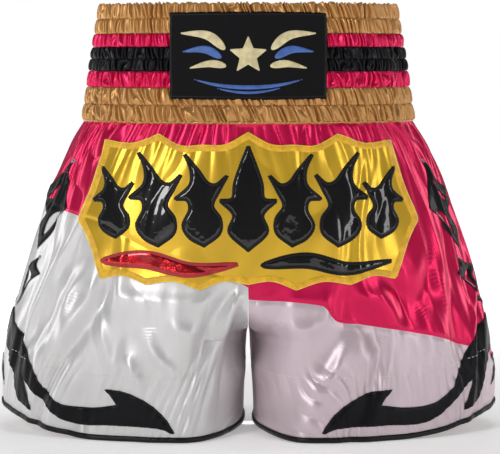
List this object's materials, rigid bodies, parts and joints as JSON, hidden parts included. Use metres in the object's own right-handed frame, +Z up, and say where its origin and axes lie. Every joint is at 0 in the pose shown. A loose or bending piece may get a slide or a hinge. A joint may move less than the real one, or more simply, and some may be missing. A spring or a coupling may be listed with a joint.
{
  "type": "boxing shorts",
  "caption": "Satin boxing shorts with a wide gathered elastic waistband, two flared legs, bound hems, a padded front ornament and side trims.",
  "frame": {"origin": "on the ground, under the middle of the shorts", "axes": "+Z up, front faces -Y, +X towards the wearer's left"},
  "size_m": [0.4478, 0.2282, 0.376],
  "materials": {
    "gold_satin": "satin, gathered over elastic",
    "pink_satin": "glossy satin",
    "black_satin": "satin",
    "white_satin": "glossy satin",
    "yellow_satin": "glossy satin",
    "mustard_thread": "dense satin stitch",
    "patent_vinyl": "patent gloss",
    "red_foil": "metallic foil",
    "elastic": "woven elastic, matt",
    "lining_cloth": "plain, matt",
    "label_cloth": "plain tape, blank",
    "patch_cloth": "dense woven patch",
    "cream_thread": "embroidery",
    "blue_thread": "embroidery",
    "black_binding": "folded satin tape"
  },
  "bodies": {
    "root": {"care_label": "label_cloth", "elastic_row_1": "elastic", "elastic_row_2": "elastic", "elastic_row_3": "elastic", "elastic_row_4": "elastic", "elastic_row_5": "elastic", "elastic_row_6": "elastic", "elastic_row_7": "elastic", "elastic_row_8": "elastic", "label_bar_left": "blue_thread", "label_bar_right": "blue_thread", "label_patch": "patch_cloth", "label_star": "cream_thread", "left_back_lower_panel": "white_satin", "left_back_upper_panel": "pink_satin", "left_claw_back": "black_satin", "left_claw_front": "black_satin", "left_flame_lower_back": "black_satin", "left_flame_lower_front": "black_satin", "left_flame_upper_back": "black_satin", "left_flame_upper_front": "black_satin", "left_front_lower_panel": "white_satin", "left_front_upper_panel": "pink_satin", "left_hem_binding": "black_binding", "left_hem_blade_back": "black_satin", "left_hem_blade_front": "black_satin", "left_hem_facing": "lining_cloth", "ornament_field": "yellow_satin", "ornament_flame_inner_left": "patent_vinyl", "ornament_flame_inner_right": "patent_vinyl", "ornament_flame_middle_left": "patent_vinyl", "ornament_flame_middle_right": "patent_vinyl", "ornament_flame_outer_left": "patent_vinyl", "ornament_flame_outer_right": "patent_vinyl", "ornament_spear": "patent_vinyl", "ornament_stitch_foot": "mustard_thread", "ornament_stitch_top": "mustard_thread", "ornament_swoosh": "red_foil", "ornament_wing": "patent_vinyl", "right_back_lower_panel": "white_satin", "right_back_upper_panel": "pink_satin", "right_claw_back": "black_satin", "right_claw_front": "black_satin", "right_flame_lower_back": "black_satin", "right_flame_lower_front": "black_satin", "right_flame_upper_back": "black_satin", "right_flame_upper_front": "black_satin", "right_front_lower_panel": "white_satin", "right_front_upper_panel": "pink_satin", "right_hem_binding": "black_binding", "right_hem_blade_back": "black_satin", "right_hem_blade_front": "black_satin", "right_hem_facing": "lining_cloth", "waistband_black_middle": "black_satin", "waistband_gold_bottom": "gold_satin", "waistband_gold_top": "gold_satin", "waistband_lining": "lining_cloth", "waistband_pink_lower": "pink_satin", "waistband_pink_upper": "pink_satin"}
  },
  "joints": []
}
